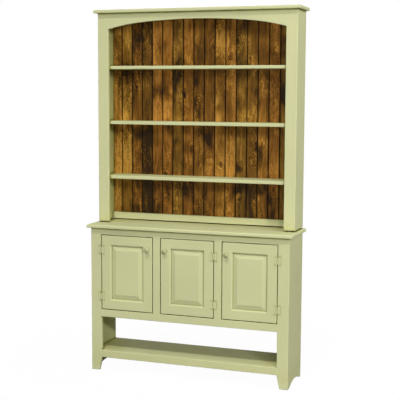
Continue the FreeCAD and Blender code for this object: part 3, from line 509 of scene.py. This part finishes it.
def finish_piece(name, bm, body, material, soft_under=SOFT_TURNED):
    """A piece from a bmesh: outward faces, soft shading, riding on its body."""
    bmesh.ops.remove_doubles(bm, verts=bm.verts, dist=WELD)
    bmesh.ops.recalc_face_normals(bm, faces=bm.faces)
    mesh = bpy.data.meshes.new(name)
    bm.to_mesh(mesh)
    bm.free()
    mesh.materials.append(material)
    mesh.shade_smooth()
    mesh.set_sharp_from_angle(angle=soft_under)
    piece = bpy.data.objects.new(name, mesh)
    bpy.context.scene.collection.objects.link(piece)
    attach(piece, body)
    return piece


def add_copy(target, source, matrix):
    """Adds the source bmesh to the target, moved by the matrix."""
    mesh = bpy.data.meshes.new("copy")
    source.to_mesh(mesh)
    mesh.transform(matrix)
    target.from_mesh(mesh)
    bpy.data.meshes.remove(mesh)


def turned_knob(centre, face, reach, radius, settings):
    """A mushroom knob, spun about an axis along Y that leaves the door's face."""
    bm = bmesh.new()
    waist, foot, dome = settings.waist_radius, settings.foot_radius, settings.dome
    rim = reach - dome
    # Distances from the door and radii: the foot, the neck, the back of the head, its rim and its dome.
    profile = ((0.0, 0.0), (0.0, foot), (0.0022, foot),
               (0.0042, waist * 1.04), (0.0086, waist * 0.98),
               (rim - 0.0040, radius * 0.86), (rim - 0.0010, radius),
               (reach - dome * 0.62, radius * 0.90), (reach - dome * 0.16, radius * 0.46), (reach, 0.0))
    verts = [bm.verts.new((out, -away, 0)) for away, out in profile]
    for first, second in zip(verts, verts[1:]):
        bm.edges.new((first, second))
    bmesh.ops.bevel(bm, geom=verts[3:-1], offset=0.0022, offset_type="OFFSET", segments=4, profile=0.5,
                    affect="VERTICES", material=-1)
    bmesh.ops.spin(bm, geom=bm.verts[:] + bm.edges[:], cent=(0, 0, 0), axis=(0, 1, 0),
                   angle=math.tau, steps=settings.steps, use_merge=True)
    bmesh.ops.translate(bm, verts=bm.verts, vec=(centre.x, face, centre.z))
    return bm


def screw_head(settings):
    """A low domed head with a sunk slot, on the XY plane."""
    bm = bmesh.new()
    bmesh.ops.create_cone(bm, cap_ends=True, segments=20, radius1=settings.radius,
                          radius2=settings.radius * 0.74, depth=settings.height)
    bmesh.ops.translate(bm, verts=bm.verts, vec=(0, 0, settings.height / 2))
    for side in (-1, 1):
        bmesh.ops.bisect_plane(bm, geom=bm.verts[:] + bm.edges[:] + bm.faces[:],
                               plane_co=(side * settings.slot / 2, 0, 0), plane_no=(1, 0, 0))
    strip = [f for f in bm.faces if f.normal.z > 0.9 and abs(f.calc_center_median().x) < settings.slot / 2]
    grown = bmesh.ops.extrude_face_region(bm, geom=strip)["geom"]
    bmesh.ops.delete(bm, geom=strip, context="FACES_ONLY")
    bmesh.ops.translate(bm, verts=[v for v in grown if isinstance(v, bmesh.types.BMVert)],
                        vec=(0, 0, -settings.height * 0.6))
    return bm


def nail_head(settings):
    """A flat head with a chamfered rim, on the XY plane."""
    bm = bmesh.new()
    bmesh.ops.create_cone(bm, cap_ends=True, segments=16, radius1=settings.radius, radius2=settings.radius,
                          depth=settings.height)
    bmesh.ops.translate(bm, verts=bm.verts, vec=(0, 0, settings.height / 2))
    rim = [e for e in bm.edges if all(v.co.z > settings.height / 2 for v in e.verts)]
    bmesh.ops.bevel(bm, geom=rim, offset=settings.height * 0.6, offset_type="OFFSET", segments=2,
                    profile=0.5, affect="EDGES", material=-1)
    return bm


# Operators

class CUPBOARD_OT_paint_case(bpy.types.Operator):
    """Brushes the sage paint on the frames, sides, shelves and doors"""
    bl_idname = "cupboard.paint_case"
    bl_label = "Paint the Case and Doors"

    def execute(self, context):
        paint = context.scene.cupboard_paint
        case, door = {}, {}
        for way in (UP, ACROSS):
            # The case gets full painted shade in corners and recesses; the doors and the hutch's back rail get
            # less.
            case[way] = painted_wood("sage_paint_case_" + way, way, paint, edge_wear_and_highlight=0.5, recess_shade=1.0,
                                     corner_shade=1.0, spill=1.5)
            door[way] = painted_wood("sage_paint_door_" + way, way, paint, edge_wear_and_highlight=0.25, corner_shade=0.43)
        for name in in_slot("painted_wood"):
            way = ACROSS if any(word in name for word in LYING) else UP
            less_painted_shade = name.startswith("door_") or name == "hutch_back_rail"
            dress([name], door[way] if less_painted_shade else case[way])
        dress(in_slot("painted_hinge"), painted_wood("sage_paint_hinges", UP, paint, edge_wear_and_highlight=0.5))
        return {"FINISHED"}


class CUPBOARD_OT_stain_back(bpy.types.Operator):
    """Stains the knotty pine boards behind the open shelves"""
    bl_idname = "cupboard.stain_back"
    bl_label = "Stain the Back Boards"

    def execute(self, context):
        stain = context.scene.cupboard_stain
        last = len(BOARD_TONES)
        low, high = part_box("hutch_back_board_1")[0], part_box("hutch_back_board_%d" % last)[1]
        strip = (high.x - low.x) / last / 2
        for number, tone in enumerate(BOARD_TONES, 1):
            pine = stained_pine("pine_board_%d" % number, low, strip, tone, number, stain)
            dress(["hutch_back_board_%d" % number], pine)
        return {"FINISHED"}


class CUPBOARD_OT_finish_hardware(bpy.types.Operator):
    """Finishes the strikes, catches and glides"""
    bl_idname = "cupboard.finish_hardware"
    bl_label = "Finish the Small Hardware"

    def execute(self, context):
        dress(in_slot("plated_steel"), plated_steel("zinc_plate"))
        dress(in_slot("glide_plastic"), moulded_plastic("brown_plastic"))
        return {"FINISHED"}


class CUPBOARD_OT_turn_knobs(bpy.types.Operator):
    """Turns the three door knobs"""
    bl_idname = "cupboard.turn_knobs"
    bl_label = "Turn the Knobs"

    def execute(self, context):
        settings = context.scene.cupboard_knobs
        paint = context.scene.cupboard_paint
        # The knobs' paint is darkened as painted shade.
        shaded = [c * KNOB_SHADE for c in paint.color]
        material = painted_wood("sage_paint_knobs", DEEP, paint, edge_wear_and_highlight=0, base=shaded)
        for door in DOORS:
            low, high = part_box("door_%s_knob" % door)
            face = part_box("door_%s_knob_stile" % door)[0].y
            bm = turned_knob((low + high) / 2, face, face - low.y, (high.x - low.x) / 2, settings)
            knob = finish_piece("turned_knob_" + door, bm, "door_" + door, material)
            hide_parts("door_%s_knob" % door)
        return {"FINISHED"}


class CUPBOARD_OT_drive_screws(bpy.types.Operator):
    """Drives the painted screws of the hinges"""
    bl_idname = "cupboard.drive_screws"
    bl_label = "Drive the Hinge Screws"

    def execute(self, context):
        settings = context.scene.cupboard_screws
        paint = context.scene.cupboard_paint
        # The screws' paint is darkened as painted shade, for dark marks at the hinge leaves' ends.
        shaded = [c * SCREW_SHADE for c in paint.color]
        material = painted_wood("sage_paint_screws", UP, paint, edge_wear_and_highlight=0, base=shaded)
        turns = random.Random(11)
        head = screw_head(settings)
        bodies = {"cupboard": bmesh.new(), **{"door_" + door: bmesh.new() for door in DOORS}}
        for door, joint in zip(DOORS, frame["joints"]):
            low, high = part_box("door_%s_hinge_leaves" % door)
            pin_x = joint["pos_m"][0]
            outer = high.x if abs(high.x - pin_x) > abs(low.x - pin_x) else low.x
            arm = (outer - pin_x) * SCREW_PLACE
            face = high.y - LEAF
            for z in (low.z + HALF_HINGE, high.z - HALF_HINGE):
                for step in (-1, 1):
                    for body, x in (("door_" + door, pin_x + arm), ("cupboard", pin_x - arm)):
                        stand = Matrix.Translation((x, face, z + step * settings.pitch))
                        tip = Matrix.Rotation(math.pi / 2, 4, "X")
                        turn = Matrix.Rotation(turns.uniform(0, math.pi), 4, "Z")
                        add_copy(bodies[body], head, stand @ (tip @ turn))
        head.free()
        for body, bm in bodies.items():
            finish_piece("hinge_screws_" + body, bm, body, material, SOFT_FASTENER)
        return {"FINISHED"}


class CUPBOARD_OT_nail_back(bpy.types.Operator):
    """Drives the nails that hold the back boards to the shelves and the back rail"""
    bl_idname = "cupboard.nail_back"
    bl_label = "Nail the Back Boards"

    def execute(self, context):
        head = nail_head(context.scene.cupboard_nails)
        bm = bmesh.new()
        rows = ("hutch_back_rail", "hutch_shelf_lower", "hutch_shelf_middle", "hutch_shelf_upper")
        for number in range(1, len(BOARD_TONES) + 1):
            low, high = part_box("hutch_back_board_%d" % number)
            for share in NAIL_PLACES:
                for row in rows:
                    foot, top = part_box(row)
                    place = (low.x + (high.x - low.x) * share, high.y, (foot.z + top.z) / 2)
                    add_copy(bm, head, Matrix.Translation(place) @ Matrix.Rotation(-math.pi / 2, 4, "X"))
        head.free()
        zinc = plated_steel("zinc_nails")
        finish_piece("back_nails", bm, "cupboard", zinc, SOFT_FASTENER)
        return {"FINISHED"}


class CUPBOARD_OT_set_stage(bpy.types.Operator):
    """Lays the pale floor and sets the lamps and the camera"""
    bl_idname = "cupboard.set_stage"
    bl_label = "Set the Stage"

    def execute(self, context):
        settings = context.scene.cupboard_stage
        scene = context.scene
        scene.view_settings.view_transform = "Standard"
        lay_floor(settings)
        light_room(scene, settings)
        hang_lamps(scene, settings)
        scene.camera = stand_camera(scene, settings)
        return {"FINISHED"}


def seen_directly(tree):
    """1 for a ray from the camera or one that is mirrored or passed on, 0 for soft light."""
    path = wire(tree, "ShaderNodeLightPath")
    seen = math_node(tree, "ADD", path.outputs["Is Camera Ray"], path.outputs["Is Glossy Ray"], clamp=True)
    return math_node(tree, "ADD", seen, path.outputs["Is Transmission Ray"], clamp=True)


def lay_floor(settings):
    """A plain floor that fades into the white round it and keeps a faint shadow of the cupboard."""
    bm = bmesh.new()
    bmesh.ops.create_circle(bm, cap_ends=True, segments=64, radius=FLOOR_RADIUS)
    mesh = bpy.data.meshes.new("floor")
    bm.to_mesh(mesh)
    bm.free()
    floor = bpy.data.objects.new("floor", mesh)
    bpy.context.scene.collection.objects.link(floor)
    material, tree, shader = new_material("studio_floor", tuple(settings.floor_color))
    shader.inputs["Roughness"].default_value = 0.9
    shader.inputs["Specular IOR Level"].default_value = 0.1
    seen = seen_directly(tree)
    dim = tuple(c * settings.floor_bounce for c in settings.floor_color)
    tree.links.new(blend_colors(tree, seen, dim, tuple(settings.floor_color)), shader.inputs["Base Color"])
    place = place_on(tree, (1, 1, 0))
    away = wire(tree, "ShaderNodeVectorMath", {0: place}, operation="LENGTH").outputs["Value"]
    share = spread(tree, away, *FLOOR_FADE, FLOOR_WHITE, 1.0, smooth=True)
    white = wire(tree, "ShaderNodeEmission", {"Color": (1, 1, 1, 1), "Strength": 1.0}).outputs[0]
    mixed = wire(tree, "ShaderNodeMixShader", {0: times(tree, share, seen), 1: shader.outputs[0], 2: white})
    tree.links.new(mixed.outputs[0], tree.nodes["Material Output"].inputs["Surface"])
    mesh.materials.append(material)


def light_room(scene, settings):
    world = bpy.data.worlds.new("studio")
    scene.world = world
    world.use_nodes = True
    tree = world.node_tree
    soft = tree.nodes["Background"]
    soft.inputs["Color"].default_value = (0.97, 0.98, 1.0, 1)
    soft.inputs["Strength"].default_value = settings.room
    white = wire(tree, "ShaderNodeBackground", {"Color": (1, 1, 1, 1), "Strength": 1.0}).outputs[0]
    mixed = wire(tree, "ShaderNodeMixShader", {0: seen_directly(tree), 1: soft.outputs[0], 2: white})
    tree.links.new(mixed.outputs[0], tree.nodes["World Output"].inputs["Surface"])


def hang_lamp(scene, name, place, aim, size, watts):
    data = bpy.data.lights.new(name, "AREA")
    data.shape = "RECTANGLE"
    data.size, data.size_y = size
    data.energy = watts
    lamp = bpy.data.objects.new(name, data)
    lamp.location = place
    lamp.rotation_euler = (Vector(aim) - Vector(place)).to_track_quat("-Z", "Y").to_euler()
    scene.collection.objects.link(lamp)


def hang_lamps(scene, settings):
    for name, place, aim, size, watts, strength in LAMPS:
        hang_lamp(scene, name, place, aim, size, watts * getattr(settings, strength))


def stand_camera(scene, settings):
    data = bpy.data.cameras.new("camera")
    data.sensor_width = SENSOR_WIDTH
    data.lens = settings.lens
    data.clip_end = FARTHEST_SEEN
    camera = bpy.data.objects.new("camera", data)
    turn = Matrix.Rotation(settings.camera_turn, 4, "Z")
    tilt = Matrix.Rotation(math.pi / 2 - settings.camera_tilt, 4, "X")
    roll = Matrix.Rotation(settings.camera_roll, 4, "Z")
    camera.matrix_world = Matrix.Translation(settings.camera_place) @ turn @ tilt @ roll
    scene.collection.objects.link(camera)
    return camera


class CUPBOARD_PT_finish(bpy.types.Panel):
    """Lists the steps that finish the cupboard"""
    bl_idname = "CUPBOARD_PT_finish"
    bl_label = "Step Back Cupboard"
    bl_space_type = "VIEW_3D"
    bl_region_type = "UI"
    bl_category = "Cupboard"

    def draw(self, context):
        for group in SETTINGS:
            box = self.layout.box()
            settings = getattr(context.scene, group)
            for name in settings.__annotations__:
                box.prop(settings, name)
        for operator in OPERATORS:
            self.layout.operator(operator.bl_idname)


SETTINGS = {"cupboard_paint": PaintSettings, "cupboard_stain": StainSettings,
            "cupboard_knobs": KnobSettings, "cupboard_screws": ScrewSettings,
            "cupboard_nails": NailSettings, "cupboard_stage": StageSettings}
OPERATORS = (CUPBOARD_OT_paint_case, CUPBOARD_OT_stain_back, CUPBOARD_OT_finish_hardware,
             CUPBOARD_OT_turn_knobs, CUPBOARD_OT_drive_screws, CUPBOARD_OT_nail_back, CUPBOARD_OT_set_stage)
CLASSES = (*SETTINGS.values(), *OPERATORS, CUPBOARD_PT_finish)


def register():
    for item in CLASSES:
        bpy.utils.register_class(item)
    for name, group in SETTINGS.items():
        setattr(bpy.types.Scene, name, bpy.props.PointerProperty(type=group))


def unregister():
    for name in SETTINGS:
        delattr(bpy.types.Scene, name)
    for item in reversed(CLASSES):
        bpy.utils.unregister_class(item)


def main():
    register()
    bpy.ops.cupboard.paint_case()
    bpy.ops.cupboard.stain_back()
    bpy.ops.cupboard.finish_hardware()
    bpy.ops.cupboard.turn_knobs()
    bpy.ops.cupboard.drive_screws()
    bpy.ops.cupboard.nail_back()
    bpy.ops.cupboard.set_stage()
    bpy.context.view_layer.update()


if __name__ == "__main__":
    main()
